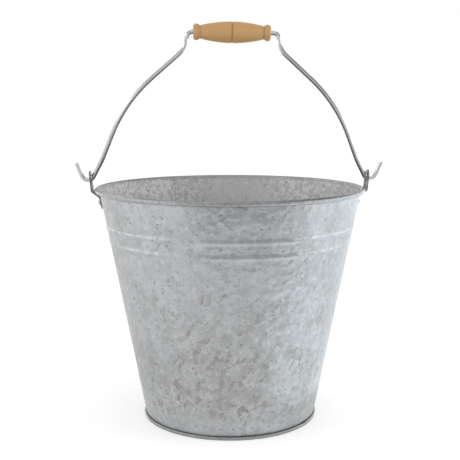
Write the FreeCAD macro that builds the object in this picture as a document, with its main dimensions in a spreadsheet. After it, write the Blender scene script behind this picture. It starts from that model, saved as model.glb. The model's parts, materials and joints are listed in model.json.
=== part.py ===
"""Galvanised feed bucket: wired rim, swaged beads, double-seamed base, riveted ears, wire bail, wood grip.

Millimetres. Origin: centre of the base, on the floor. +Z up, the ears stand on the X axis.
The wall, the base and the ears are folded sheet: each is drawn as the middle line of its sheet,
thickened to the gauge and turned about the bucket's axis.
"""
import FreeCAD, Part
import math
import operator
import os

import Sketcher
from FreeCAD import Placement, Rotation, Vector

DIMENSIONS = (
    ("rim_radius", 150.0, "outermost radius of the rolled rim"),
    ("bucket_height", 260.0, "floor to the top of the rolled rim"),
    ("wall_slant", 10.86, "angle of the wall from upright, degrees"),
    ("sheet_gauge", 0.6, "thickness of the zinc-coated sheet"),
    ("sheet_play", 0.1, "gap left between folded layers"),
    ("rim_wire_diameter", 4.0, "wire inside the rolled rim"),
    ("roll_end_angle", 145.0, "how far past the outside the roll is tucked under, degrees"),
    ("upper_bead_height", 217.3, "height of the upper swaged bead"),
    ("lower_bead_height", 201.5, "height of the lower swaged bead"),
    ("bead_half_width", 3.9, "half of a bead's width along the wall"),
    ("bead_rise", 0.6, "how far a bead stands out of the wall"),
    ("base_seam_run", 1.4, "straight height of the base's double seam"),
    ("standing_flat", 0.15, "how much of the seam's fold is worn flat where it stands"),
    ("base_hook_gap", 0.4, "room at the end of each hook in the seam"),
    ("base_panel_height", 6.4, "floor to the middle of the base panel"),
    ("base_corner_radius", 1.6, "bend between the base panel and its upstand"),
    ("base_panel_radius", 70.0, "flat middle of the base panel"),
    ("side_seam_width", 7.0, "width of the locked side seam"),
    ("side_seam_rise", 1.2, "folded layers of the side seam above the wall"),
    ("side_seam_foot", 7.5, "lower end of the side seam, along the wall"),
    ("side_seam_top", 257.6, "upper end of the side seam, along the wall"),
    ("ear_thickness", 1.8, "plate of the ears"),
    ("ear_width", 18.0, "width of the ears"),
    ("ear_foot_height", 236.3, "lower end of the ears"),
    ("ear_jog_height", 249.4, "where the ears leave the wall"),
    ("ear_knee_radius", 153.5, "plate's middle where it turns up past the roll"),
    ("ear_knee_height", 255.9, "height of that turn"),
    ("ear_lean", 5.0, "lean of the upper plate, degrees"),
    ("ear_bend_radius", 2.2, "bends of the ear plate"),
    ("ear_corner_radius", 4.0, "lower corners of the ears"),
    ("eye_height", 268.9, "height of the eye holes"),
    ("eye_radius", 5.0, "eye holes"),
    ("rivet_height", 243.6, "height of the rivets"),
    ("rivet_spacing", 9.0, "distance between the two rivets of an ear"),
    ("rivet_shank_radius", 1.5, "rivet shank"),
    ("rivet_hole_play", 0.05, "radial play of a rivet in its hole"),
    ("rivet_head_radius", 3.1, "domed head outside"),
    ("rivet_head_rise", 2.2, "height of the domed head"),
    ("rivet_clinch_radius", 2.6, "closed end inside"),
    ("rivet_clinch_rise", 0.9, "height of the closed end"),
    ("rivet_clinch_edge", 0.5, "rounding of the closed end"),
    ("rivet_seat_play", 0.04, "gap under the head and the closed end"),
    ("bail_wire_diameter", 5.0, "bail wire"),
    ("hook_tip_reach", 170.2, "hook tips from the middle"),
    ("hook_tip_height", 286.5, "height of the hook tips"),
    ("hook_reach", 158.6, "corner of the hooks from the middle"),
    ("hook_height", 258.1, "height of that corner, under its bend"),
    ("hook_bend_radius", 7.0, "bend of the hooks in the eyes"),
    ("arm_foot_reach", 142.1, "slight bend of the arms above the hooks, from the middle"),
    ("arm_foot_height", 289.8, "height of that bend"),
    ("arm_foot_radius", 70.0, "radius of that bend"),
    ("knee_reach", 117.1, "long bend of the arms from the middle"),
    ("knee_height", 353.1, "height of that bend"),
    ("knee_radius", 165.0, "radius of that bend"),
    ("neck_reach", 52.1, "where the arms turn up to the grip, from the middle"),
    ("neck_height", 410.7, "height of that turn"),
    ("neck_radius", 24.0, "radius of that turn"),
    ("shoulder_reach", 49.45, "corners of the top run from the middle"),
    ("shoulder_radius", 6.4, "bends beside the grip"),
    ("grip_axis_height", 428.7, "height of the straight top run"),
    ("bail_drift", 0.021, "sideways drift of the bail per unit of height"),
    ("bail_tilt", 0.0125, "fall of the top run to the right"),
    ("grip_length", 85.0, "turned grip"),
    ("grip_belly_radius", 11.6, "grip at its middle"),
    ("grip_neck_radius", 7.25, "grip beside its end beads"),
    ("grip_bead_radius", 8.8, "end beads of the grip"),
    ("grip_bead_width", 7.2, "length of an end bead"),
    ("grip_crest_inset", 4.2, "crest of an end bead from the end face"),
    ("grip_swell_run", 1.5, "run of a bead's inner round to its middle point"),
    ("grip_swell_drop", 0.5, "how far that point lies under the crest"),
    ("grip_nose_run", 0.9, "run from the end face to the middle point of a bead's outer round"),
    ("grip_nose_drop", 0.7, "how far that point lies under the crest"),
    ("grip_face_radius", 6.6, "flat end face of the grip"),
    ("grip_groove_depth", 0.9, "turned grooves"),
    ("grip_groove_half_width", 0.8, "half width of a turned groove"),
    ("grip_bore_play", 0.1, "radial play of the wire in the bore"),
    ("grip_bore_edge", 0.8, "chamfer at the ends of the bore"),
    ("grip_slide", 1.2, "how far the grip lies left of the top run's middle"),
)


class Size:
    """A length or an angle: its value, and the spreadsheet formula that gives the same value."""

    def __init__(self, value, formula):
        self.value = value
        self.formula = formula

    def __add__(self, other):
        return joined(self, "+", other)

    def __radd__(self, other):
        return joined(other, "+", self)

    def __sub__(self, other):
        return joined(self, "-", other)

    def __rsub__(self, other):
        return joined(other, "-", self)

    def __mul__(self, other):
        return joined(self, "*", other)

    def __rmul__(self, other):
        return joined(other, "*", self)

    def __truediv__(self, other):
        return joined(self, "/", other)

    def __neg__(self):
        return joined(0, "-", self)


SIGNS = {"+": operator.add, "-": operator.sub, "*": operator.mul, "/": operator.truediv}


ZERO = Size(0, "0")
RADIAN = math.degrees(1)
DIAGONAL = math.sqrt(0.5)
SAME_POINT = 1e-6


def as_size(number):
    return number if isinstance(number, Size) else Size(number, f"({number})")


def joined(left, sign, right):
    left = as_size(left)
    right = as_size(right)
    return Size(SIGNS[sign](left.value, right.value), f"({left.formula} {sign} {right.formula})")


def cosine(angle):
    return Size(math.cos(math.radians(angle.value)), f"cos({angle.formula})")


def sine(angle):
    return Size(math.sin(math.radians(angle.value)), f"sin({angle.formula})")


def tangent(angle):
    return Size(math.tan(math.radians(angle.value)), f"tan({angle.formula})")


def slope_angle(rise, run):
    ratio = rise / run
    return Size(math.degrees(math.atan(ratio.value)), f"atan({ratio.formula})")


doc = FreeCAD.newDocument("feed_bucket")
dimensions = doc.addObject("Spreadsheet::Sheet", "Dimensions")
derived = doc.addObject("Spreadsheet::Sheet", "Derived")


def fill_dimensions():
    for row, (alias, value, note) in enumerate(DIMENSIONS, start=1):
        dimensions.set(f"A{row}", note)
        dimensions.set(f"B{row}", str(value))
        dimensions.setAlias(f"B{row}", alias)
    doc.recompute()


def cell(alias):
    """A driving dimension."""
    return Size(float(dimensions.get(alias)), f"Dimensions.{alias}")


def keep(alias, size):
    """A worked-out size, kept in the second sheet so that other formulas stay short."""
    keep.rows += 1
    derived.set(f"B{keep.rows}", f"={size.formula}")
    derived.setAlias(f"B{keep.rows}", alias)
    return Size(size.value, f"Derived.{alias}")


keep.rows = 0
fill_dimensions()

gauge = cell("sheet_gauge")
slant = cell("wall_slant")
along_x = keep("slant_sine", sine(slant))
along_z = keep("slant_cosine", cosine(slant))

# rolled rim: the sheet's middle line runs round the wire at this radius
roll_radius = keep("roll_radius", cell("rim_wire_diameter") / 2 + cell("sheet_play") + gauge / 2)
roll_x = keep("roll_x", cell("rim_radius") - roll_radius - gauge / 2)
roll_z = keep("roll_z", cell("bucket_height") - roll_radius - gauge / 2)

# foot of the wall's middle line, where it would meet the floor
wall_length = keep("wall_length", (roll_z + roll_radius * along_x) / along_z)
foot_x = keep("foot_x", roll_x - roll_radius * along_z - wall_length * along_x)


def on_wall(run, out=0):
    """Point at a run along the wall from its foot, and a distance out of its middle line."""
    return (foot_x + run * along_x + out * along_z, run * along_z - out * along_x)


def run_at_height(height):
    return height / along_z


# base seam: five layers, one pitch apart, folded about one centre
pitch = keep("layer_pitch", gauge + cell("sheet_play"))
seam_run = keep("seam_run", (pitch * 2 + gauge / 2 - cell("standing_flat") + pitch * along_x) / along_z)
seam_top = keep("seam_top", seam_run + cell("base_seam_run"))


class Trace:
    """Draws bound points, straight runs and round runs in a sketch."""

    def __init__(self, sketch):
        self.sketch = sketch
        self.count = 0

    def pin(self, item, end, point):
        """Ties one point of an item to two formulas."""
        self.count += 1
        for axis, size in zip("XY", point):
            name = f"{axis.lower()}{self.count}_place"
            number = self.sketch.addConstraint(
                Sketcher.Constraint(f"Distance{axis}", -1, 1, item, end, size.value))
            self.sketch.renameConstraint(number, name)
            self.sketch.setExpression(f"Constraints.{name}", size.formula)

    def line(self, start, end):
        return self.sketch.addGeometry(Part.LineSegment(flat(start), flat(end)))

    def arc(self, start, middle, end):
        """A round run through three points. The sketch turns every arc anticlockwise."""
        curve = Part.Arc(flat(start), flat(middle), flat(end))
        item = self.sketch.addGeometry(curve)
        guide = self.sketch.addGeometry(Part.Point(flat(middle)), True)
        self.pin(guide, 1, middle)
        self.sketch.addConstraint(Sketcher.Constraint("PointOnObject", guide, 1, item))
        return item

    def ends(self, item, start):
        """Which end of an item lies at the start of its run: 1 first, 2 last."""
        first = self.sketch.getPoint(item, 1)
        return (1, 2) if first.isEqual(flat(start), SAME_POINT) else (2, 1)

    def run(self, start, steps, closed=False):
        """Joined runs. A step is an end point, or a middle and an end point for a round run."""
        here = start
        previous = None
        opening = None
        for step in steps:
            round_run = isinstance(step[0], tuple)
            item = self.arc(here, *step) if round_run else self.line(here, step)
            first, last = self.ends(item, here)
            if previous is None:
                opening = (item, first)
                self.pin(item, first, here)
            else:
                self.sketch.addConstraint(Sketcher.Constraint("Coincident", *previous, item, first))
            here = step[-1] if round_run else step
            previous = (item, last)
            if step is steps[-1] and closed:
                self.sketch.addConstraint(Sketcher.Constraint("Coincident", *previous, *opening))
            else:
                self.pin(item, last, here)


def flat(point):
    """A sketch point from two sizes."""
    return Vector(point[0].value, point[1].value, 0)


def upright_sketch(name):
    """A sketch whose x is the radius and whose y is the height."""
    sketch = doc.addObject("Sketcher::SketchObject", name)
    sketch.Placement = Placement(Vector(), Rotation(Vector(1, 0, 0), 90))
    return sketch


def bind(item, **sizes):
    """Sets properties of an object from sizes."""
    for name, size in sizes.items():
        setattr(item, name, size.value)
        item.setExpression(name, size.formula)


def turned_sheet(name, sketch, thickness, angle=None):
    """A sheet drawn by its middle line, thickened and turned about the bucket's axis."""
    skin = doc.addObject("Part::Offset2D", f"{name}_section")
    skin.Source = sketch
    skin.Mode = "Pipe"
    skin.Join = "Arc"
    skin.Fill = True
    bind(skin, Value=thickness / 2)
    turned = doc.addObject("Part::Revolution", f"{name}_turned")
    turned.Source = skin
    turned.Base = Vector(0, 0, 0)
    turned.Axis = Vector(0, 0, 1)
    turned.Solid = True
    if angle is None:
        turned.Angle = 360
    else:
        turned.Symmetric = True
        bind(turned, Angle=angle)
    return turned


def boolean(kind, name, base, tool):
    item = doc.addObject(f"Part::{kind}", name)
    item.Base = base
    item.Tool = tool
    return item


def labelled(item, label):
    item.Label = label
    return item


def bead_steps(height, out):
    """A swaged bead: foot, crown and foot arcs that meet smoothly, at a distance out of the middle line."""
    half = cell("bead_half_width")
    rise = cell("bead_rise")
    middle = run_at_height(height)
    radius = (half * half + rise * rise) / (4 * rise)
    turn = slope_angle(rise, half)
    foot_reach = sine(turn)
    foot_drop = 1 - cosine(turn)
    foot = radius - out
    crown = radius + out
    inflection = sine(2 * turn)
    level = out + foot * (1 - cosine(2 * turn))

    def at(run, lift):
        return on_wall(middle + run, lift)

    def side(direction):
        return at(direction * (half - foot * foot_reach), out + foot * foot_drop)

    shoulder = half - foot * inflection
    crown_top = at(ZERO, out + rise)
    return (
        at(-half, out),
        (side(-1), at(-shoulder, level)),
        (crown_top, at(shoulder, level)),
        (side(1), at(half, out)),
    )


def wall_line(sketch_name, start_steps, out, end_steps):
    """The wall's run with its two beads, between a lower and an upper ending."""
    steps = list(start_steps[1:])
    for height in (cell("lower_bead_height"), cell("upper_bead_height")):
        steps.extend(bead_steps(height, out))
    steps.extend(end_steps)
    sketch = upright_sketch(sketch_name)
    Trace(sketch).run(start_steps[0], steps)
    return sketch


def around_roll(angle):
    """Point on the sheet's middle line round the rim wire, from the outside anticlockwise."""
    return (roll_x + roll_radius * cosine(angle), roll_z + roll_radius * sine(angle))


def rivet_frame(side, row):
    """Place of a rivet: local +X points out of the ear's face. side and row are 1 or -1."""
    outer_face = gauge + cell("ear_thickness") + cell("rivet_seat_play") - gauge / 2
    seat_x, seat_z = on_wall(run_at_height(cell("rivet_height")), outer_face)
    azimuth = math.degrees(math.asin(row * cell("rivet_spacing").value / 2 / seat_x.value))
    lean = Rotation(Vector(0, 1, 0), slant.value)
    turn = Rotation(Vector(0, 0, 1), azimuth + (0 if side > 0 else 180))
    spot = turn.multVec(Vector(seat_x.value, 0, seat_z.value))
    return Placement(spot, turn * lean)


RIVET_PLACES = {
    "left_front_rivet": rivet_frame(-1, 1),
    "left_rear_rivet": rivet_frame(-1, -1),
    "right_front_rivet": rivet_frame(1, -1),
    "right_rear_rivet": rivet_frame(1, 1),
}


def rivet_holes(name, places):
    """Bars through the wall and the ears, one for each rivet."""
    bars = []
    for number, place in enumerate(places):
        bar = doc.addObject("Part::Cylinder", f"{name}_{number}")
        bind(bar, Radius=cell("rivet_shank_radius") + cell("rivet_hole_play"), Height=cell("ear_width"))
        inwards = Vector(-cell("ear_width").value / 2, 0, 0)
        bar.Placement = place * Placement(inwards, Rotation(Vector(0, 1, 0), 90))
        bars.append(bar)
    group = doc.addObject("Part::MultiFuse", name)
    group.Shapes = bars
    return group


def bucket_wall():
    """One tapered sheet: hooked foot, two beads, edge rolled round the rim wire, locked side seam."""
    hook_end = seam_top - cell("base_hook_gap")
    foot = (
        on_wall(hook_end, pitch * 2),
        on_wall(seam_run, pitch * 2),
        (on_wall(seam_run - pitch, pitch), on_wall(seam_run)),
    )
    tuck = -cell("roll_end_angle")
    roll_start = 180 - slant
    rim = (around_roll(roll_start), (around_roll((roll_start + tuck) / 2), around_roll(tuck)))
    shell = turned_sheet("wall", wall_line("wall_line", foot, ZERO, rim), gauge)

    rise = cell("side_seam_rise")
    seam_out = rise / 2 + gauge / 4
    seam_start = (on_wall(cell("side_seam_foot"), seam_out),)
    seam_end = (on_wall(cell("side_seam_top"), seam_out),)
    seam_angle = cell("side_seam_width") / cell("rim_radius") * RADIAN
    seam_line = wall_line("side_seam_line", seam_start, seam_out, seam_end)
    seam = turned_sheet("side_seam", seam_line, rise + gauge / 2, seam_angle)
    seam.Placement = Placement(Vector(), Rotation(Vector(0, 0, 1), 90))

    seamed = boolean("Fuse", "wall_with_seam", shell, seam)
    holes = rivet_holes("wall_rivet_holes", RIVET_PLACES.values())
    return labelled(boolean("Cut", "bucket_wall", seamed, holes), "bucket_wall")


def rim_wire():
    """The steel wire that the rim is rolled round."""
    wire = doc.addObject("Part::Torus", "rim_wire")
    bind(wire, Radius1=roll_x, Radius2=cell("rim_wire_diameter") / 2)
    wire.Placement = Placement(Vector(0, 0, roll_z.value), Rotation())
    wire.setExpression("Placement.Base.z", roll_z.formula)
    return labelled(wire, "rim_wire")


def bottom_disc():
    """Recessed base panel whose edge is folded round the wall's hook and back into it."""
    panel_z = cell("base_panel_height")
    corner = cell("base_corner_radius")
    upstand = -pitch
    bend_turn = (90 - slant) / 2
    bend_run = run_at_height(panel_z + upstand * along_x)
    bend_setback = corner * tangent(bend_turn)
    corner_x, corner_z = on_wall(bend_run, upstand)
    upstand_top = on_wall(bend_run - bend_setback, upstand)
    centre_x = corner_x - bend_setback
    centre_z = panel_z - corner
    start = (cell("base_panel_radius"), panel_z)
    middle = (centre_x + corner * sine(bend_turn), centre_z + corner * cosine(bend_turn))
    hook_tip = on_wall(seam_run + cell("base_hook_gap"), pitch)
    steps = (
        (centre_x, panel_z),
        (middle, upstand_top),
        on_wall(seam_run, upstand),
        (on_wall(seam_run - pitch * 2, pitch), on_wall(seam_run, pitch * 3)),
        on_wall(seam_top, pitch * 3),
        (on_wall(seam_top + pitch, pitch * 2), on_wall(seam_top, pitch)),
        hook_tip,
    )
    sketch = upright_sketch("base_line")
    Trace(sketch).run(start, steps)
    hem = turned_sheet("base_hem", sketch, gauge)
    panel = doc.addObject("Part::Cylinder", "base_panel")
    bind(panel, Radius=cell("base_panel_radius"), Height=gauge)
    panel.Placement = Placement(Vector(0, 0, (panel_z - gauge / 2).value), Rotation())
    panel.setExpression("Placement.Base.z", (panel_z - gauge / 2).formula)
    disc = boolean("Fuse", "base_disc", hem, panel)
    disc.Refine = True
    floor = doc.addObject("Part::Cylinder", "floor_space")
    bind(floor, Radius=cell("rim_radius"), Height=panel_z)
    floor.Placement = Placement(Vector(0, 0, -panel_z.value), Rotation())
    floor.setExpression("Placement.Base.z", (-panel_z).formula)
    return labelled(boolean("Cut", "bottom_disc", disc, floor), "bottom_disc")


def bend_corner(before, corner, after, radius):
    """Middle and end of the tangent arc of a bend, as plain numbers, for a first guess at a sketch."""
    back = (before - corner).normalize()
    ahead = (after - corner).normalize()
    half = back.getAngle(ahead) / 2
    setback = radius / math.tan(half)
    towards = (back + ahead).normalize()
    centre = corner + towards * (radius / math.sin(half))
    return corner + back * setback, centre - towards * radius, corner + ahead * setback


def bent_line(sketch, corners, radii):
    """Straight runs joined by tangent bends. corners are sizes; a bend has its radius bound."""
    trace = Trace(sketch)
    spots = [flat(corner) for corner in corners]
    guides = []
    for corner in corners:
        guide = sketch.addGeometry(Part.Point(flat(corner)), True)
        trace.pin(guide, 1, corner)
        guides.append(guide)
    starts = [spots[0]]
    ends = []
    arcs = []
    for number, radius in enumerate(radii, start=1):
        first, middle, last = bend_corner(*spots[number - 1:number + 2], radius.value)
        ends.append(first)
        starts.append(last)
        arcs.append(sketch.addGeometry(Part.Arc(first, middle, last)))
    ends.append(spots[-1])
    lines = [sketch.addGeometry(Part.LineSegment(*pair)) for pair in zip(starts, ends)]
    sketch.addConstraint(Sketcher.Constraint("Coincident", lines[0], 1, guides[0], 1))
    sketch.addConstraint(Sketcher.Constraint("Coincident", lines[-1], 2, guides[-1], 1))
    for number, line in enumerate(lines):
        if number > 0:
            sketch.addConstraint(Sketcher.Constraint("PointOnObject", guides[number], 1, line))
        if number < len(lines) - 1:
            sketch.addConstraint(Sketcher.Constraint("PointOnObject", guides[number + 1], 1, line))
    for number, (arc, radius) in enumerate(zip(arcs, radii)):
        first, last = trace.ends(arc, (as_size(ends[number].x), as_size(ends[number].y)))
        sketch.addConstraint(Sketcher.Constraint("Tangent", lines[number], 2, arc, first))
        sketch.addConstraint(Sketcher.Constraint("Tangent", lines[number + 1], 1, arc, last))
        index = sketch.addConstraint(Sketcher.Constraint("Radius", arc, radius.value))
        sketch.renameConstraint(index, f"bend{number}_radius")
        sketch.setExpression(f"Constraints.bend{number}_radius", radius.formula)


def ear(label, side):
    """Riveted lug: lower plate on the wall, joggled out past the roll, upper plate with the eye."""
    thickness = cell("ear_thickness")
    width = cell("ear_width")
    out = gauge / 2 + cell("rivet_seat_play") + thickness / 2
    bend = cell("ear_bend_radius")
    lean = tangent(cell("ear_lean"))
    top = cell("eye_height") + width / 2 + thickness
    knee = (cell("ear_knee_radius"), cell("ear_knee_height"))
    corners = (
        on_wall(run_at_height(cell("ear_foot_height") - thickness), out),
        on_wall(run_at_height(cell("ear_jog_height")), out),
        knee,
        (knee[0] + (top - knee[1]) * lean, top),
    )
    sketch = upright_sketch(f"{label}_line")
    bent_line(sketch, corners, (bend, bend))
    twice_width = width * 2 / cell("rim_radius") * RADIAN
    strip = turned_sheet(f"{label}_strip", sketch, thickness, twice_width)

    outline = doc.addObject("Sketcher::SketchObject", f"{label}_outline")
    outline.Placement = Placement(Vector(), Rotation(Vector(1, 1, 1), 120))
    half = width / 2
    eye = cell("eye_height")
    foot = cell("ear_foot_height")
    corner = cell("ear_corner_radius")
    inset = corner * (1 - DIAGONAL)
    Trace(outline).run(
        (half, eye),
        (
            ((ZERO, eye + half), (-half, eye)),
            (-half, foot + corner),
            ((inset - half, foot + inset), (corner - half, foot)),
            (half - corner, foot),
            ((half - inset, foot + inset), (half, foot + corner)),
            (half, eye),
        ),
        closed=True,
    )
    block = doc.addObject("Part::Extrusion", f"{label}_block")
    block.Base = outline
    block.DirMode = "Custom"
    block.Dir = Vector(1, 0, 0)
    block.Solid = True
    bind(block, LengthFwd=cell("rim_radius") * 2)
    plate = boolean("Common", f"{label}_plate", strip, block)

    eye_bar = doc.addObject("Part::Cylinder", f"{label}_eye")
    bind(eye_bar, Radius=cell("eye_radius"), Height=cell("rim_radius") * 2)
    eye_bar.Placement = Placement(Vector(0, 0, eye.value), Rotation(Vector(0, 1, 0), 90))
    eye_bar.setExpression("Placement.Base.z", eye.formula)
    right_side = [RIVET_PLACES["right_front_rivet"], RIVET_PLACES["right_rear_rivet"]]
    drilled = boolean("Cut", f"{label}_drilled", plate, rivet_holes(f"{label}_holes", right_side))
    finished = boolean("Cut", label, drilled, eye_bar)
    if side < 0:
        finished.Placement = Placement(Vector(), Rotation(Vector(0, 0, 1), 180))
    return labelled(finished, label)


def new_body(label):
    body = doc.addObject("PartDesign::Body", label)
    body.Label = label
    return body


def body_sketch(body, name, role="XZ_Plane"):
    """A sketch on one of the body's own origin planes."""
    sketch = body.newObject("Sketcher::SketchObject", name)
    plane = [item for item in body.Origin.OriginFeatures if item.Role == role][0]
    sketch.AttachmentSupport = [(plane, "")]
    sketch.MapMode = "FlatFace"
    return sketch


def turned_body(label, draw):
    """A solid of revolution about its own X axis, drawn as half an outline."""
    body = new_body(label)
    sketch = body_sketch(body, f"{label}_outline")
    draw(Trace(sketch))
    turned = body.newObject("PartDesign::Revolution", f"{label}_turned")
    turned.Profile = sketch
    turned.ReferenceAxis = (sketch, ["H_Axis"])
    turned.Angle = 360
    body.Tip = turned
    return body


def rivet(label):
    """Tinman's rivet: domed head outside, shank through ear and wall, closed end inside."""
    shank = cell("rivet_shank_radius")
    head = cell("rivet_head_radius")
    rise = cell("rivet_head_rise")
    clinch = cell("rivet_clinch_radius")
    play = cell("rivet_seat_play")
    inner_face = -(cell("ear_thickness") + gauge + play * 3)
    shoulder = inner_face - cell("rivet_clinch_rise")
    edge = cell("rivet_clinch_edge")
    inset = edge * (1 - DIAGONAL)
    dome_centre = (rise * rise - head * head) / (2 * rise)
    dome_radius = rise - dome_centre
    dome_turn = slope_angle(rise, head)

    def draw(trace):
        trace.run(
            (shoulder, ZERO),
            (
                (shoulder, clinch - edge),
                ((shoulder + inset, clinch - inset), (shoulder + edge, clinch)),
                (inner_face, clinch),
                (inner_face, shank),
                (play, shank),
                (play, head),
                ((play + dome_centre + dome_radius * cosine(dome_turn), dome_radius * sine(dome_turn)),
                 (play + rise, ZERO)),
                (shoulder, ZERO),
            ),
            closed=True,
        )

    body = turned_body(label, draw)
    body.Placement = RIVET_PLACES[label]
    return body


def bail_point(reach, height):
    """A point of the bail. Bent by hand, it drifts to the right and falls to the right as it rises."""
    rise = height - cell("eye_height")
    share = rise / (cell("grip_axis_height") - cell("eye_height"))
    return (reach + cell("bail_drift") * rise, height - cell("bail_tilt") * reach * share)


def bail_corners():
    """Corners of the bail's middle line from the left hook to the right one: reach, height, bend radius."""
    half_side = (
        (cell("hook_tip_reach"), cell("hook_tip_height"), None),
        (cell("hook_reach"), cell("hook_height"), cell("hook_bend_radius")),
        (cell("arm_foot_reach"), cell("arm_foot_height"), cell("arm_foot_radius")),
        (cell("knee_reach"), cell("knee_height"), cell("knee_radius")),
        (cell("neck_reach"), cell("neck_height"), cell("neck_radius")),
        (cell("shoulder_reach"), cell("grip_axis_height"), cell("shoulder_radius")),
    )
    left = [(-reach, height, radius) for reach, height, radius in half_side]
    return left + list(reversed(half_side))


def bail_wire():
    """One wire: hooked ends through the eyes, long arms, necks and the straight run in the grip."""
    body = new_body("bail_wire")
    path = body_sketch(body, "bail_path")
    corners = bail_corners()
    points = [bail_point(reach, height) for reach, height, radius in corners]
    bent_line(path, points, [radius for reach, height, radius in corners[1:-1]])
    doc.recompute()
    section = body.newObject("Sketcher::SketchObject", "bail_section")
    section.AttachmentSupport = [(path, "Edge1")]
    section.MapMode = "NormalToEdge"
    circle = section.addGeometry(Part.Circle(Vector(), Vector(0, 0, 1), cell("bail_wire_diameter").value / 2))
    section.addConstraint(Sketcher.Constraint("Coincident", circle, 3, -1, 1))
    section.addConstraint(Sketcher.Constraint("Diameter", circle, cell("bail_wire_diameter").value))
    section.renameConstraint(1, "wire_diameter")
    section.setExpression("Constraints.wire_diameter", cell("bail_wire_diameter").formula)
    doc.recompute()
    pipe = body.newObject("PartDesign::AdditivePipe", "bail_pipe")
    pipe.Profile = section
    pipe.Spine = path
    body.Tip = pipe
    return body


def grip():
    """Turned beech grip, bored for the wire: belly with a middle groove, and a rounded bead at each end."""
    half = cell("grip_length") / 2
    bore = cell("bail_wire_diameter") / 2 + cell("grip_bore_play")
    belly = cell("grip_belly_radius")
    neck = cell("grip_neck_radius")
    bead = cell("grip_bead_radius")
    face = cell("grip_face_radius")
    bead_inner = half - cell("grip_bead_width")
    bead_crest = half - cell("grip_crest_inset")
    swell = (bead_inner + cell("grip_swell_run"), bead - cell("grip_swell_drop"))
    nose = (half - cell("grip_nose_run"), bead - cell("grip_nose_drop"))
    bore_edge = cell("grip_bore_edge")
    groove = cell("grip_groove_half_width")
    depth = cell("grip_groove_depth")
    belly_end = bead_inner - groove
    drop = belly - neck
    arch = (belly_end * belly_end + drop * drop) / (2 * drop)

    def side(sign):
        """From the middle groove to the bore on one side."""
        waist = belly_end / 2
        waist_radius = belly - (waist * waist) / (2 * arch)
        return (
            (sign * groove, belly),
            ((sign * waist, waist_radius), (sign * belly_end, neck)),
            (sign * (belly_end + groove / 2), neck - depth / 2),
            (sign * bead_inner, neck),
            ((sign * swell[0], swell[1]), (sign * bead_crest, bead)),
            ((sign * nose[0], nose[1]), (sign * half, face)),
            (sign * half, bore + bore_edge),
            (sign * (half - bore_edge), bore),
        )

    def draw(trace):
        right = side(1)
        left = side(-1)
        trace.run(
            (ZERO, belly - depth),
            right + tuple(backwards(left)) + ((ZERO, belly - depth),),
            closed=True,
        )

    body = turned_body("grip", draw)
    middle = bail_point(-cell("grip_slide"), cell("grip_axis_height"))
    tilt = slope_angle(cell("bail_tilt"), as_size(1))
    body.Placement = Placement(
        Vector(middle[0].value, 0, middle[1].value), Rotation(Vector(0, 1, 0), tilt.value))
    return body


def backwards(steps):
    """The same runs, walked from their last point to their first."""
    points = [step[-1] if isinstance(step[0], tuple) else step for step in steps]
    turned = [points[-1]]
    for number in range(len(steps) - 1, 0, -1):
        step = steps[number]
        goal = points[number - 1]
        turned.append((step[0], goal) if isinstance(step[0], tuple) else goal)
    return turned


def main():
    nodes = [
        bucket_wall(),
        rim_wire(),
        bottom_disc(),
        ear("left_ear", -1),
        ear("right_ear", 1),
    ]
    nodes.extend(rivet(label) for label in RIVET_PLACES)
    nodes.append(bail_wire())
    nodes.append(grip())
    doc.recompute()
    for item in doc.Objects:
        if "Invalid" in item.State or "Error" in item.State:
            raise RuntimeError(f"{item.Name} is {item.State}")
    os.makedirs("parts", exist_ok=True)
    for node in nodes:
        if node.Shape.isNull() or not node.Shape.isValid():
            raise RuntimeError(f"{node.Label} has no valid shape")
    for node in nodes:
        node.Shape.exportStep(f"parts/{node.Label}.step")
        print(f"{node.Label}: {len(node.Shape.Solids)} solid, {node.Shape.Volume:.0f} mm3")


main()
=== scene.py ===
"""Looks of a galvanised feed bucket: worn zinc sheet, wire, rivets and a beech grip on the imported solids."""

import json
import math

import bpy
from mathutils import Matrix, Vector

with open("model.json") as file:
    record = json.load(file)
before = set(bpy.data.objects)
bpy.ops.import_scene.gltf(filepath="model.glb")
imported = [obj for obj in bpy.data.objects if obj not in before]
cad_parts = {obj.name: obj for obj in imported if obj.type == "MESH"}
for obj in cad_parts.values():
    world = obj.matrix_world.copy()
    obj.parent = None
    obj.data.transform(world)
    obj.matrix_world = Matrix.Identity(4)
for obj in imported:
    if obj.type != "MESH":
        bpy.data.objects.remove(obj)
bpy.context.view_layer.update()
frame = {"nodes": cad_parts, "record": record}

# Lengths are in metres, except for the lens and the sensor, which are in millimetres.
CAMERA_DISTANCE = 1.0131
CAMERA_HEIGHT = 0.3604
CAMERA_AZIMUTH = math.radians(-3.5)
CAMERA_PITCH = math.radians(8.42)
CAMERA_LENS = 71.07
SENSOR_WIDTH = 36.0

# Places on the bucket: X to the right, Y to the back, Z up from the base.
# In a pair of lengths, a change starts at the first and is complete at the second.
WALL_FOOT_RADIUS = 0.09549
WALL_SLOPE = math.tan(math.radians(10.86))
SMOOTH_MIDDLE = 0.015
SMOOTH_EDGE = (0.030, 0.060)
SCALE_MIDDLE = (0.090, -0.080, 0.140)
SCALE_REACH = (0.115, 0.050)
WORN_MIDDLE = (-0.005, -0.115, 0.085)
WORN_REACH = (0.075, 0.030)
WORN_SCALE_REACH = (0.090, 0.050)
SHARD_TOP = (0.19, 0.06)
SHARD_FOOT = (0.006, 0.03)
FOOT_GRIME = (0.0075, 0.0035)
RIM_GRIME = (0.2550, 0.2572)
ROLL_FOOT = 0.2545
# Reach, from the roll's foot, of the painted shadow in the groove under the rolled rim.
ROLL_SHADE_REACH = (0.0014, 0.0005)
GRIP_MIDDLE = 0.000956
GRIP_BEAD_FOOT = 0.0353
GROOVE_GRIME = (0.0008, 0.0003)

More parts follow.
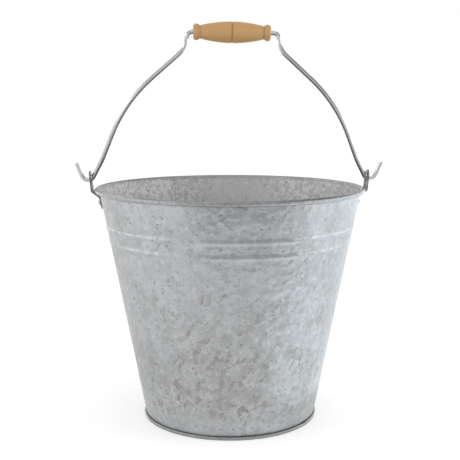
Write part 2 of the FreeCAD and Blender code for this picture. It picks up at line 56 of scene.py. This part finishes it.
# Sizes of the marks on the zinc.
CLOUD_SIZE = 0.035
MOTTLE_SIZE = 0.006
GRAIN_SIZE = 0.0016
SCALE_SIZE = 0.0060
FLAKE_SIZE = 0.0034
DOME_SIZE = 0.0078
PATCH_SIZE = 0.040
WIDE_SHARD = 0.0090
LARGE_SHARD = 0.0052
SMALL_SHARD = 0.0030
RAGGED_SIZE = 0.0034
SPECK_SIZE = 0.0027
SCRATCH_SIZE = 0.0105

# Depths of the zinc's relief.
DENT_DEPTH = 0.0005
DOME_DEPTH = 0.0009
MOTTLE_DEPTH = 0.00025
GRAIN_DEPTH = 0.00008

WHITE = (1.0, 1.0, 1.0)
COOL = (0.955, 1.0, 1.025)
OUTER_DARK = (0.378, 0.383, 0.387)
OUTER_PALE = (0.517, 0.531, 0.544)
INNER_DARK = (0.40, 0.40, 0.402)
INNER_PALE = (0.60, 0.602, 0.608)
# Painted shade in the valleys between the raised scales.
SCALE_VALLEY_SHADE = (0.30, 0.305, 0.31)
STAIN = (0.315, 0.31, 0.302)
# Colour of the dark specks and the grime, and also of the painted shadow under the rolled rim.
SPECK_AND_SHADE = (0.14, 0.14, 0.14)
EAR_DARK = (0.16, 0.157, 0.153)
EAR_PALE = (0.34, 0.34, 0.34)
RIVET_DARK = (0.36, 0.36, 0.36)
RIVET_PALE = (0.56, 0.57, 0.58)
DRAWN_DARK = (0.30, 0.30, 0.31)
DRAWN_PALE = (0.45, 0.45, 0.46)
BAIL_DARK = (0.60, 0.603, 0.607)
BAIL_PALE = (0.66, 0.664, 0.67)
BAIL_SPOT = (0.26, 0.26, 0.26)
WOOD_DARK = (0.460, 0.262, 0.099)
WOOD_PALE = (0.480, 0.278, 0.110)
WOOD_FLECK = (0.30, 0.155, 0.06)
WOOD_GRIME = (0.13, 0.075, 0.035)

FLOOR_SIZE = 12.0
FLOOR_TONE = (0.8, 0.8, 0.8)

# Studio screens that only show in reflections. Each has its middle and its half width in degrees round
# the bucket from the front, its brightness, its tint, and its profile in (radius, height) points.
SCREENS = {
    "foot_ring": (-10, 90, 0.90, WHITE, ((0.103, 0.002), (0.20, 0.003))),
    "front_floor": (14, 44, 0.46, WHITE, ((0.50, 0.006), (1.0, 0.03), (1.45, 0.12))),
    "front_low": (14, 42, 0.58, WHITE, ((1.45, 0.13), (1.5, 0.30))),
    "front_card": (14, 44, 0.79, WHITE, ((1.5, 0.31), (1.5, 0.8))),
    "right_floor": (96, 62, 1.36, COOL, ((0.14, 0.004), (1.0, 0.01), (1.6, 0.03))),
    "right_screen": (110, 62, 2.2, COOL, ((1.6, 0.04), (1.6, 0.42))),
    "left_screen": (-112, 60, 1.8, WHITE, ((1.6, 0.04), (1.6, 0.40))),
    "right_middle": (110, 46, 1.6, WHITE, ((1.61, 0.44), (1.55, 0.90))),
    "left_middle": (-110, 46, 0.95, WHITE, ((1.61, 0.42), (1.55, 0.92))),
    "right_upper": (96, 60, 0.30, WHITE, ((1.55, 0.92), (1.4, 1.3), (0.9, 1.8))),
    "left_upper": (-104, 62, 1.9, WHITE, ((1.55, 0.94), (1.42, 1.25))),
    "left_top": (-104, 62, 0.6, WHITE, ((1.40, 1.28), (0.9, 1.8))),
}
SCREEN_STEPS = 24

# Soft boxes: place, size and power in watts. They light matt surfaces and don't show in reflections.
SOFT_BOXES = {
    "right_box": ((1.6, -0.4, 1.1), (1.0, 1.4), 8),
    "left_box": ((-1.6, -0.4, 1.1), (1.0, 1.4), 5),
    "top_box": ((0.0, -0.2, 2.2), (1.6, 1.6), 2),
}
BOX_AIM = Vector((0, 0, 0.2))


class Shader:
    """A node material. Its methods add nodes and give their outputs."""

    def __init__(self, name):
        self.material = bpy.data.materials.new(name)
        self.material.use_nodes = True
        self.tree = self.material.node_tree
        self.surface = self.tree.nodes["Principled BSDF"]
        self.place = self.tree.nodes.new("ShaderNodeTexCoord").outputs["Object"]

    def add(self, kind, settings=None, **inputs):
        """A node with its settings, and its inputs set or joined by name."""
        node = self.tree.nodes.new(kind)
        for key, value in (settings or {}).items():
            setattr(node, key, value)
        for key, value in inputs.items():
            self.feed(node.inputs[key.replace("_", " ")], value)
        return node

    def feed(self, socket, value):
        """Joins an output to the socket, or sets its value."""
        if isinstance(value, bpy.types.NodeSocket):
            self.tree.links.new(value, socket)
        else:
            socket.default_value = value

    def math(self, operation, *values):
        node = self.tree.nodes.new("ShaderNodeMath")
        node.operation = operation
        for socket, value in zip(node.inputs, values):
            self.feed(socket, value)
        return node.outputs[0]

    def apart(self, value, middle):
        """How far value is from middle, on either side."""
        return self.math("ABSOLUTE", self.math("SUBTRACT", value, middle))

    def total(self, *shares):
        """Weighted sum of (value, weight) pairs."""
        result = 0.0
        for value, weight in shares:
            result = self.math("MULTIPLY_ADD", value, weight, result)
        return result

    def product(self, *values):
        result = values[0]
        for value in values[1:]:
            result = self.math("MULTIPLY", result, value)
        return result

    def step(self, value, low, high, start=0.0, end=1.0):
        """Smooth change from start, where value is low, to end, where it is high. Low may be the larger."""
        node = self.add("ShaderNodeMapRange", {"interpolation_type": "SMOOTHSTEP"}, Value=value)
        for key, number in zip(("From Min", "From Max", "To Min", "To Max"), (low, high, start, end)):
            node.inputs[key].default_value = number
        return node.outputs["Result"]

    def blend(self, amount, first, second):
        """Colour that goes from first to second as amount goes from 0 to 1."""
        node = self.tree.nodes.new("ShaderNodeMix")
        node.data_type = "RGBA"
        self.feed(node.inputs[0], amount)
        self.feed(node.inputs[6], first if isinstance(first, bpy.types.NodeSocket) else (*first, 1.0))
        self.feed(node.inputs[7], second if isinstance(second, bpy.types.NodeSocket) else (*second, 1.0))
        return node.outputs[2]

    def across(self):
        """X of the shaded point."""
        return self.add("ShaderNodeSeparateXYZ", Vector=self.place).outputs["X"]

    def height(self):
        """Z of the shaded point."""
        return self.add("ShaderNodeSeparateXYZ", Vector=self.place).outputs["Z"]

    def inside_wall(self):
        """1 on the bucket's inner surface, 0 on its outer one."""
        split = self.add("ShaderNodeSeparateXYZ", Vector=self.place)
        squares = self.math("MULTIPLY_ADD", split.outputs["X"], split.outputs["X"],
                            self.math("MULTIPLY", split.outputs["Y"], split.outputs["Y"]))
        radius = self.math("SQRT", squares)
        middle = self.math("MULTIPLY_ADD", split.outputs["Z"], WALL_SLOPE, WALL_FOOT_RADIUS)
        return self.math("LESS_THAN", radius, middle)

    def near(self, middle, far, close):
        """1 closer than close to a point, 0 further than far."""
        node = self.tree.nodes.new("ShaderNodeVectorMath")
        node.operation = "DISTANCE"
        self.feed(node.inputs[0], self.place)
        node.inputs[1].default_value = middle
        return self.step(node.outputs["Value"], far, close)

    def stretched(self, scale, rotation=(0, 0, 0), place=None):
        """Coordinates turned by angles in degrees and scaled, for grain and scratches."""
        node = self.add("ShaderNodeMapping", {"vector_type": "TEXTURE"}, Vector=place or self.place)
        node.inputs["Rotation"].default_value = [math.radians(angle) for angle in rotation]
        node.inputs["Scale"].default_value = scale
        return node.outputs[0]

    def warped(self, size, shift):
        """Coordinates pushed about by up to half of shift, in soft patches of the given size."""
        node = self.add("ShaderNodeTexNoise", Vector=self.place, Scale=1.0 / size, Detail=2.0)
        offset = self.add("ShaderNodeVectorMath", {"operation": "SUBTRACT"})
        self.feed(offset.inputs[0], node.outputs["Color"])
        offset.inputs[1].default_value = (0.5, 0.5, 0.5)
        moved = self.add("ShaderNodeVectorMath", {"operation": "MULTIPLY_ADD"})
        self.feed(moved.inputs[0], offset.outputs[0])
        moved.inputs[1].default_value = (shift,) * 3
        self.feed(moved.inputs[2], self.place)
        return moved.outputs[0]

    def noise(self, size, detail=3.0, roughness=0.5, distortion=0.0, place=None):
        """Soft noise whose patches are about size metres across."""
        node = self.add("ShaderNodeTexNoise", Vector=place or self.place, Scale=1.0 / size, Detail=detail,
                        Roughness=roughness, Distortion=distortion)
        return node.outputs["Fac"]

    def voronoi(self, size, place=None):
        return self.add("ShaderNodeTexVoronoi", Vector=place or self.place, Scale=1.0 / size)

    def cells(self, size, place=None):
        """Cells about size metres across: 0 at their middles, near 1 at their corners."""
        return self.voronoi(size, place).outputs["Distance"]

    def chance(self, size, place=None):
        """Straight-edged flakes about size metres across, each with its own even value from 0 to 1."""
        colour = self.voronoi(size, place).outputs["Color"]
        return self.add("ShaderNodeSeparateColor", Color=colour).outputs[0]

    def picked(self, chance, more, limit, share):
        """1 on flakes whose chance passes limit, and on up to share of them more where more is 1."""
        lifted = self.math("MULTIPLY_ADD", more, share, chance)
        return self.step(lifted, limit, limit + 0.01)

    def bump(self, height, depth, strength=1.0, below=None):
        """Surface relief of about depth metres, laid over the relief below it."""
        node = self.add("ShaderNodeBump", Height=height, Distance=depth, Strength=strength)
        if below is not None:
            self.feed(node.inputs["Normal"], below)
        return node.outputs["Normal"]

    def finish(self, **inputs):
        """The material, once its surface inputs are set or joined by name."""
        for key, value in inputs.items():
            self.feed(self.surface.inputs[key.replace("_", " ")], value)
        return self.material


def outer_zinc(shader, place, mottle, grain):
    """Mottled tone of the outer wall."""
    cloud = shader.noise(CLOUD_SIZE, detail=5.0, roughness=0.6)
    scales = shader.chance(SCALE_SIZE, place)
    tone = shader.total((cloud, 0.32), (mottle, 0.32), (grain, 0.26), (scales, 0.10))
    return shader.blend(shader.step(tone, 0.36, 0.64), OUTER_DARK, OUTER_PALE)


def inner_zinc(shader, place, mottle, grain):
    """Flaked tone of the inner wall. The flakes fade to a fifth in its smooth middle."""
    fresh = shader.step(shader.apart(shader.across(), SMOOTH_MIDDLE), *SMOOTH_EDGE)
    contrast = shader.math("MULTIPLY_ADD", fresh, 0.8, 0.2)
    flake = shader.math("SUBTRACT", shader.chance(FLAKE_SIZE, place), 0.5)
    flake = shader.math("MULTIPLY_ADD", flake, contrast, 0.5)
    tone = shader.total((mottle, 0.30), (flake, 0.45), (grain, 0.25))
    return shader.blend(shader.step(tone, 0.25, 0.75), INNER_DARK, INNER_PALE)


def stained_shards(shader, height, place):
    """Share of brown-grey shards, in three sizes, thickest in the worn patch and none high up."""
    patches = shader.step(shader.noise(PATCH_SIZE), 0.42, 0.64)
    patches = shader.math("MAXIMUM", patches, shader.near(WORN_MIDDLE, *WORN_REACH))
    low = shader.product(shader.step(height, *SHARD_TOP), shader.step(height, *SHARD_FOOT))
    worn = shader.product(patches, low)
    slanted = shader.stretched((1.0, 1.0, 1.7), (0, 28, 0), place)
    ragged = shader.step(shader.noise(RAGGED_SIZE, detail=4.0, roughness=0.6), 0.37, 0.43)
    wide = shader.picked(shader.chance(WIDE_SHARD, slanted), worn, 1.0, 0.36)
    large = shader.picked(shader.chance(LARGE_SHARD, slanted), worn, 0.996, 0.34)
    small = shader.picked(shader.chance(SMALL_SHARD, place), worn, 0.980, 0.26)
    depth = shader.step(shader.noise(0.009, detail=2.0), 0.35, 0.65, 0.30, 1.0)
    shards = shader.math("MAXIMUM", shader.product(large, ragged, depth),
                         shader.product(small, depth, 0.6))
    return shader.math("MAXIMUM", shards, shader.product(wide, ragged, 0.34))


def dark_marks(shader, place):
    """Share of dark specks, scattered unevenly, and of short slanted scratches."""
    specks = shader.step(shader.noise(SPECK_SIZE, detail=1.0), 0.66, 0.72)
    scatter = shader.step(shader.noise(0.026, detail=1.0), 0.34, 0.55, 0.25, 1.0)
    scratch_place = shader.stretched((1.0, 1.0, 4.5), (0, 34, 0), place)
    scratches = shader.step(shader.cells(SCRATCH_SIZE, scratch_place), 0.085, 0.05)
    marks = shader.math("MAXIMUM", shader.product(specks, scatter), scratches)
    return shader.product(marks, 0.62)


def grime_and_roll_shadow(shader, height, inside):
    """Share of grime at the foot and on the rim, and of painted shadow in the groove outside under the rolled
    rim.
    """
    foot = shader.step(height, *FOOT_GRIME, 0.0, 0.30)
    rim = shader.step(height, *RIM_GRIME, 0.0, 0.32)
    # Painted shadow: the groove outside under the rolled rim is darkened as if the curl shaded it.
    roll_shadow = shader.step(shader.apart(height, ROLL_FOOT), *ROLL_SHADE_REACH, 0.0, 0.42)
    painted_roll_shadow = shader.product(roll_shadow, shader.math("SUBTRACT", 1.0, inside))
    return shader.math("MAXIMUM", shader.math("MAXIMUM", foot, rim), painted_roll_shadow)


def zinc_relief(shader, inside, domes, scales, mottle, grain):
    """Slow dents, domed ridges that are strongest on the scales, mottle and grain."""
    raised = shader.math("MULTIPLY_ADD", inside, -0.6, 1.0)
    relief = shader.bump(shader.noise(0.030, detail=2.0), DENT_DEPTH, strength=raised)
    flow = shader.step(shader.noise(0.060, detail=1.0), 0.40, 0.60, 0.20, 0.65)
    flow = shader.math("MAXIMUM", flow, scales)
    relief = shader.bump(shader.product(domes, flow), DOME_DEPTH, strength=raised, below=relief)
    relief = shader.bump(mottle, MOTTLE_DEPTH, below=relief)
    return shader.bump(grain, GRAIN_DEPTH, below=relief)


def zinc_sheet():
    """Hot-dip zinc: mottled outside and flaked inside, with raised scales, shards, specks and grime, and
    painted shade under the rolled rim and in the valleys between the scales.
    """
    shader = Shader("zinc_sheet")
    inside = shader.inside_wall()
    height = shader.height()
    place = shader.warped(0.012, 0.004)
    mottle = shader.noise(MOTTLE_SIZE, detail=4.0, roughness=0.65, distortion=0.4)
    grain = shader.noise(GRAIN_SIZE, detail=2.0, roughness=0.6)
    domes = shader.cells(DOME_SIZE, shader.warped(0.010, 0.006))
    scales = shader.near(SCALE_MIDDLE, *SCALE_REACH)

    outer = outer_zinc(shader, place, mottle, grain)
    inner = inner_zinc(shader, place, mottle, grain)
    colour = shader.blend(inside, outer, inner)
    # Painted shade: the valleys between the domed scales are darkened, on the right flank's scales and in the
    # worn patch.
    scaled = shader.math("MULTIPLY_ADD", shader.near(WORN_MIDDLE, *WORN_SCALE_REACH), 0.35, scales)
    valley_shade = shader.step(domes, 0.30, 0.62)
    colour = shader.blend(shader.product(scaled, valley_shade, 0.34), colour, SCALE_VALLEY_SHADE)
    colour = shader.blend(stained_shards(shader, height, place), colour, STAIN)
    colour = shader.blend(dark_marks(shader, place), colour, SPECK_AND_SHADE)
    # Grime at the foot and on the rim, and painted shadow in the groove under the rolled rim.
    colour = shader.blend(grime_and_roll_shadow(shader, height, inside), colour, SPECK_AND_SHADE)

    roughness = shader.math("MULTIPLY_ADD", inside, 0.12, shader.step(mottle, 0.3, 0.7, 0.32, 0.42))
    metal = shader.math("MULTIPLY_ADD", inside, -0.40, 1.0)
    relief = zinc_relief(shader, inside, domes, scales, mottle, grain)
    return shader.finish(Base_Color=colour, Metallic=metal, Roughness=roughness, Normal=relief)


def ear_plate():
    """Dull galvanised plate of the ears, clouded and finely pitted."""
    shader = Shader("ear_plate")
    cloud = shader.noise(0.006, detail=5.0, roughness=0.65)
    colour = shader.blend(shader.step(cloud, 0.35, 0.68), EAR_DARK, EAR_PALE)
    relief = shader.bump(shader.noise(0.0015, detail=4.0), 0.0001)
    return shader.finish(Base_Color=colour, Metallic=1.0, Roughness=0.42, Normal=relief)


def rivets():
    """Zinc-coated rivets, clouded."""
    shader = Shader("rivets")
    cloud = shader.noise(0.0025, detail=4.0)
    colour = shader.blend(shader.step(cloud, 0.35, 0.65), RIVET_DARK, RIVET_PALE)
    relief = shader.bump(cloud, 0.0001)
    return shader.finish(Base_Color=colour, Metallic=1.0, Roughness=0.38, Normal=relief)


def plain_wire():
    """Drawn wire inside the rolled rim."""
    shader = Shader("plain_wire")
    cloud = shader.noise(0.004, detail=4.0)
    colour = shader.blend(cloud, DRAWN_DARK, DRAWN_PALE)
    return shader.finish(Base_Color=colour, Metallic=1.0, Roughness=0.4)


def bail_wire():
    """Bright drawn wire, smooth, with slow changes of tone and a few dull spots."""
    shader = Shader("bail_wire")
    cloud = shader.noise(0.030, detail=2.0)
    spots = shader.step(shader.noise(0.0035, detail=2.0), 0.60, 0.72)
    colour = shader.blend(shader.step(cloud, 0.35, 0.65), BAIL_DARK, BAIL_PALE)
    colour = shader.blend(shader.product(spots, 0.35), colour, BAIL_SPOT)
    roughness = shader.step(cloud, 0.35, 0.65, 0.11, 0.17)
    relief = shader.bump(cloud, 0.00002)
    return shader.finish(Base_Color=colour, Metallic=1.0, Roughness=roughness, Normal=relief)


def grip_wood():
    """Turned beech: grain and fine dark flecks along the grip, grime in its grooves."""
    shader = Shader("grip_wood")
    grain_place = shader.stretched((9.0, 1.0, 1.0))
    grain = shader.noise(0.0020, detail=5.0, roughness=0.6, place=grain_place)
    broad = shader.noise(0.012, detail=2.0, place=grain_place)
    tone = shader.total((grain, 0.6), (broad, 0.4))
    colour = shader.blend(shader.step(tone, 0.30, 0.72), WOOD_DARK, WOOD_PALE)
    fleck_place = shader.stretched((10.0, 1.0, 1.0))
    flecks = shader.step(shader.noise(0.0009, detail=1.0, place=fleck_place), 0.64, 0.74)
    colour = shader.blend(shader.product(flecks, 0.28), colour, WOOD_FLECK)
    along = shader.apart(shader.across(), GRIP_MIDDLE)
    from_bead = shader.apart(along, GRIP_BEAD_FOOT)
    grime = shader.math("MAXIMUM", shader.step(along, *GROOVE_GRIME, 0.0, 0.30),
                        shader.step(from_bead, *GROOVE_GRIME, 0.0, 0.26))
    colour = shader.blend(grime, colour, WOOD_GRIME)
    relief = shader.bump(grain, 0.00006)
    return shader.finish(Base_Color=colour, Roughness=0.42, Normal=relief)


MATERIALS = {
    "zinc_sheet": zinc_sheet,
    "plain_wire": plain_wire,
    "ear_plate": ear_plate,
    "rivets": rivets,
    "bail_wire": bail_wire,
    "grip_wood": grip_wood,
}


def dress_nodes():
    """Gives each CAD node the material of its slot in the record."""
    made = {slot: build() for slot, build in MATERIALS.items()}
    for part in frame["record"]["subparts"]:
        node = frame["nodes"][part["node"]]
        node.data.materials.clear()
        node.data.materials.append(made[part["material_slot"]])


def ray_share(tree, *kinds):
    """1 for rays of the named kinds, 0 for the rest."""
    path = tree.nodes.new("ShaderNodeLightPath")
    total = path.outputs[kinds[0]]
    for kind in kinds[1:]:
        node = tree.nodes.new("ShaderNodeMath")
        node.operation = "MAXIMUM"
        tree.links.new(total, node.inputs[0])
        tree.links.new(path.outputs[kind], node.inputs[1])
        total = node.outputs[0]
    return total


def levels(tree, seen, reflected, other):
    """One level as the camera sees it, one as it shows in reflections, and one as a light."""
    value = other
    for kinds, level in ((("Is Glossy Ray", "Is Transmission Ray"), reflected), (("Is Camera Ray",), seen)):
        node = tree.nodes.new("ShaderNodeMix")
        tree.links.new(ray_share(tree, *kinds), node.inputs[0])
        if isinstance(value, bpy.types.NodeSocket):
            tree.links.new(value, node.inputs[2])
        else:
            node.inputs[2].default_value = value
        node.inputs[3].default_value = level
        value = node.outputs[0]
    return value


def glowing(name, tone, tint):
    """A matt material that also glows, and its surface node."""
    material = bpy.data.materials.new(name)
    material.use_nodes = True
    surface = material.node_tree.nodes["Principled BSDF"]
    surface.inputs["Base Color"].default_value = (*tone, 1.0)
    surface.inputs["Specular IOR Level"].default_value = 0.0
    surface.inputs["Emission Color"].default_value = (*tint, 1.0)
    return material, surface


def studio_mesh(name, corners, faces, material):
    """A plain mesh of the studio, linked to the scene."""
    mesh = bpy.data.meshes.new(name)
    mesh.from_pydata(corners, [], faces)
    mesh.materials.append(material)
    item = bpy.data.objects.new(name, mesh)
    bpy.context.scene.collection.objects.link(item)
    return item


def lay_floor():
    """Pale floor: white where it is lit, and keeping the soft shadow under the bucket."""
    half = FLOOR_SIZE / 2
    corners = [(-half, -half, 0), (half, -half, 0), (half, half, 0), (-half, half, 0)]
    material, surface = glowing("floor", FLOOR_TONE, WHITE)
    surface.inputs["Roughness"].default_value = 0.9
    tree = material.node_tree
    strength = levels(tree, seen=0.34, reflected=0.19, other=0.45)
    tree.links.new(strength, surface.inputs["Emission Strength"])
    floor = studio_mesh("floor", corners, [(0, 1, 2, 3)], material)


def stand_screen(name, middle, half, level, tint, profile):
    """Curved screen: its profile turned about the bucket's axis from middle - half to middle + half.

    It is hidden from the camera, casts no shadow and lights no matt surface.
    """
    corners = []
    for step in range(SCREEN_STEPS + 1):
        turn = math.radians(middle + half * (2 * step / SCREEN_STEPS - 1))
        for radius, height in profile:
            corners.append((radius * math.sin(turn), -radius * math.cos(turn), height))
    rows = len(profile)
    faces = []
    for step in range(SCREEN_STEPS):
        for row in range(rows - 1):
            first = step * rows + row
            faces.append((first, first + 1, first + rows + 1, first + rows))
    material, surface = glowing(name, (0.0, 0.0, 0.0), tint)
    surface.inputs["Emission Strength"].default_value = level
    screen = studio_mesh(name, corners, faces, material)
    screen.visible_camera = False
    screen.visible_shadow = False
    screen.visible_diffuse = False


def light_world():
    """White surroundings as seen, and a softer level as reflected and as a light."""
    world = bpy.data.worlds.new("studio")
    world.use_nodes = True
    bpy.context.scene.world = world
    tree = world.node_tree
    background = tree.nodes["Background"]
    background.inputs["Color"].default_value = (*WHITE, 1.0)
    tree.links.new(levels(tree, seen=1.0, reflected=0.84, other=0.86), background.inputs["Strength"])


def soft_box(name, place, size, power):
    """A lamp turned to BOX_AIM that doesn't show in reflections."""
    lamp = bpy.data.lights.new(name, "AREA")
    lamp.shape = "RECTANGLE"
    lamp.size, lamp.size_y = size
    lamp.energy = power
    item = bpy.data.objects.new(name, lamp)
    item.location = place
    item.visible_glossy = False
    item.rotation_mode = "QUATERNION"
    item.rotation_quaternion = (BOX_AIM - Vector(place)).to_track_quat("-Z", "Y")
    bpy.context.scene.collection.objects.link(item)


def place_camera():
    """The camera, on a circle round the bucket's axis and looking slightly down."""
    camera = bpy.data.objects.new("camera", bpy.data.cameras.new("camera"))
    camera.data.lens = CAMERA_LENS
    camera.data.sensor_width = SENSOR_WIDTH
    camera.location = (CAMERA_DISTANCE * math.sin(CAMERA_AZIMUTH),
                       -CAMERA_DISTANCE * math.cos(CAMERA_AZIMUTH), CAMERA_HEIGHT)
    camera.rotation_euler = (math.pi / 2 - CAMERA_PITCH, 0, CAMERA_AZIMUTH)
    bpy.context.scene.collection.objects.link(camera)
    bpy.context.scene.camera = camera


dress_nodes()
lay_floor()
for name, screen in SCREENS.items():
    stand_screen(name, *screen)
light_world()
for name, box in SOFT_BOXES.items():
    soft_box(name, *box)
place_camera()
bpy.context.scene.view_settings.view_transform = "Standard"
